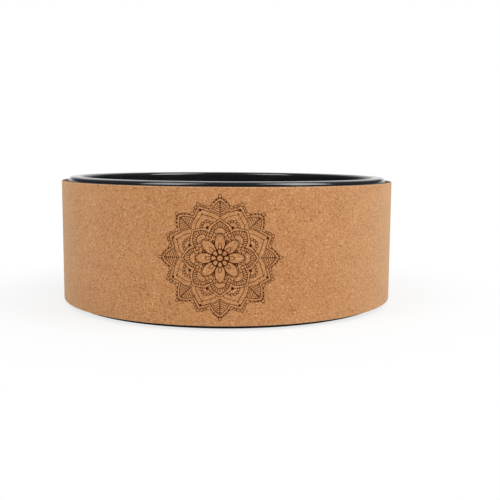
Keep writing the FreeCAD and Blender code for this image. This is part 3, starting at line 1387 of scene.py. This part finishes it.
@dataclass(frozen=True)
class Softbox:
    """A lamp behind a flat diffuser, aimed at the wheel.

    Attributes:
        name: The lamp's name.
        azimuth: Direction from the front, in degrees towards the right.
        elevation: Angle above the floor, in degrees.
        width: Width of the diffuser.
        height: Height of the diffuser.
        power: Radiant power, in watts.
        distance: Distance from the wheel's middle.
    """

    name: str
    azimuth: float
    elevation: float
    width: float
    height: float
    power: float
    distance: float = 1.2

    def build(self, target: Vector) -> None:
        """Sets up the lamp.

        Args:
            target: The point that it is aimed at.
        """
        lamp = bpy.data.lights.new(self.name, "AREA")
        lamp.shape = "RECTANGLE"
        lamp.size = self.width
        lamp.size_y = self.height
        lamp.energy = self.power
        holder = add_object(self.name, lamp)
        turn = math.radians(self.azimuth)
        rise = math.radians(self.elevation)
        away = Vector((math.sin(turn) * math.cos(rise), -math.cos(turn) * math.cos(rise), math.sin(rise)))
        holder.location = target + away * self.distance
        holder.rotation_euler = (-away).to_track_quat("-Z", "Y").to_euler()
        LOG.info("%s: %.1f W", self.name, self.power)


@dataclass(frozen=True)
class Panel:
    """A white area of the studio that reflections show.

    Attributes:
        towards: Direction of its middle from the wheel.
        edge: Cosine of the angle from its middle at which it ends.
        core: Cosine of the angle up to which it is plain white.
    """

    towards: tuple[float, float, float]
    edge: float
    core: float


@dataclass
class Studio:
    """A white sweep of paper, two softboxes, a soft surround and the camera.

    Attributes:
        softboxes: The lamps.
        panels: The white areas in reflections: the low backdrop, and a sheet of paper over it.
        daylight: Strength of the soft light from all round.
        window: Direction from which it is strongest.
        slope: Share by which it is stronger there, and weaker on the other side.
        floor_radius: Radius of the paper.
        floor_facets: Sides of its edge.
        floor_drop: How far the paper lies below the wheel.
        paper: What the floor is made of.
        eye: The camera's place.
        pitch: How far it looks down, in radians.
        yaw: How far it looks to the right.
        roll: How far it leans.
        lens: Focal length in millimetres.
        sensor: Width of its sensor in millimetres.
    """

    softboxes: tuple[Softbox, ...] = (
        Softbox("left_softbox", azimuth=-49.0, elevation=49.0, width=0.55, height=0.75, power=4.8),
        Softbox("right_softbox", azimuth=63.0, elevation=49.0, width=0.62, height=0.8, power=7.6),
    )
    panels: tuple[Panel, Panel] = (
        Panel(towards=(0.0, 0.6, -0.8), edge=0.32, core=0.48),
        Panel(towards=(0.0, 0.766, 0.643), edge=0.81, core=0.9),
    )
    daylight: float = 0.66
    window: tuple[float, float, float] = (0.62, -0.72, 0.3)
    slope: float = 0.23
    floor_radius: float = 4.0
    floor_facets: int = 96
    floor_drop: float = 0.2 * MM
    # Matt white paper, which keeps a soft shadow at the foot of the wheel.
    paper: Finish = StudioPaper("matt_studio_paper", "#E2E2E2", roughness=0.9, ior=1.4)
    eye: tuple[float, float, float] = (0.0, -0.78, 0.1441)
    pitch: float = math.radians(7.155)
    yaw: float = math.radians(1.66)
    roll: float = math.radians(0.38)
    lens: float = 56.42
    sensor: float = 36.0

    def lay_floor(self) -> None:
        """Lays the paper under the wheel."""
        mesh = bmesh.new()
        below = Matrix.Translation((0, 0, CAD_BOX[0].z - self.floor_drop))
        bmesh.ops.create_circle(
            mesh, cap_ends=True, segments=self.floor_facets, radius=self.floor_radius, matrix=below
        )
        add_mesh("studio_floor", mesh, self.paper)

    def surround(self) -> None:
        """Sets up the surround: white to the camera, and two white panels in a dim room to reflections."""
        world = bpy.data.worlds.new("studio_surround")
        world.use_nodes = True
        tree = world.node_tree
        bpy.context.scene.world = world
        way = add_node(tree, "TexCoord", output="Generated")
        shares = []
        for panel in self.panels:
            turned = {0: way, 1: panel.towards}
            facing = add_node(tree, "VectorMath", turned, output="Value", operation="DOT_PRODUCT")
            reach = {"Value": facing, "From Min": panel.edge, "From Max": panel.core}
            shares.append(add_node(tree, "MapRange", reach))
        white = add_node(tree, "Math", {0: shares[0], 1: shares[1]}, operation="MAXIMUM")
        room = add_node(tree, "ValToRGB", {"Fac": white}, stops=((0.0, "#4E5156"), (1.0, WHITE)))
        turned = {0: way, 1: self.window}
        facing = add_node(tree, "VectorMath", turned, output="Value", operation="DOT_PRODUCT")
        brightness = {
            "Value": facing,
            "From Min": -1.0,
            "To Min": self.daylight * (1 - self.slope),
            "To Max": self.daylight * (1 + self.slope),
        }
        strength = add_node(tree, "MapRange", brightness)
        seen = add_node(tree, "LightPath").node.outputs
        backdrop = add_node(tree, "Background", {"Color": linear(WHITE), "Strength": 1.0})
        reflected = add_node(tree, "Background", {"Color": room, "Strength": 1.0})
        daylight = add_node(tree, "Background", {"Color": linear(WHITE), "Strength": strength})
        mirrored = add_node(tree, "MixShader", {0: seen["Is Glossy Ray"], 1: daylight, 2: reflected})
        direct = {0: seen["Is Camera Ray"], 1: seen["Is Transmission Ray"]}
        looked_at = add_node(tree, "Math", direct, operation="MAXIMUM")
        surface = tree.nodes["World Output"].inputs["Surface"]
        add_node(tree, "MixShader", {0: looked_at, 1: mirrored, 2: backdrop}, feeds=surface)

    def set_camera(self) -> None:
        """Puts the camera at the photograph's viewing angle."""
        data = bpy.data.cameras.new("studio_camera")
        data.sensor_width = self.sensor
        data.lens = self.lens
        camera = add_object("studio_camera", data)
        camera.matrix_world = (
            Matrix.Translation(self.eye)
            @ Matrix.Rotation(-self.yaw, 4, "Z")
            @ Matrix.Rotation(math.pi / 2 - self.pitch, 4, "X")
            @ Matrix.Rotation(self.roll, 4, "Z")
        )
        bpy.context.scene.camera = camera

    def build(self) -> None:
        """Sets up the whole studio."""
        self.lay_floor()
        self.surround()
        middle = (CAD_BOX[0] + CAD_BOX[1]) / 2
        for softbox in self.softboxes:
            softbox.build(middle)
        self.set_camera()
        bpy.context.scene.view_settings.view_transform = "Standard"


def main() -> None:
    """Builds the wheel from the hoop outwards, and then the studio round it."""
    logging.basicConfig(level=logging.INFO, format="%(name)s: %(message)s")
    hoop = Hoop.from_frame()
    hoop.build()
    cover = Cover.from_frame(hoop)
    cover.build()
    Mandala.from_cover(cover).build()
    Studio().build()


if __name__ == "__main__":
    main()
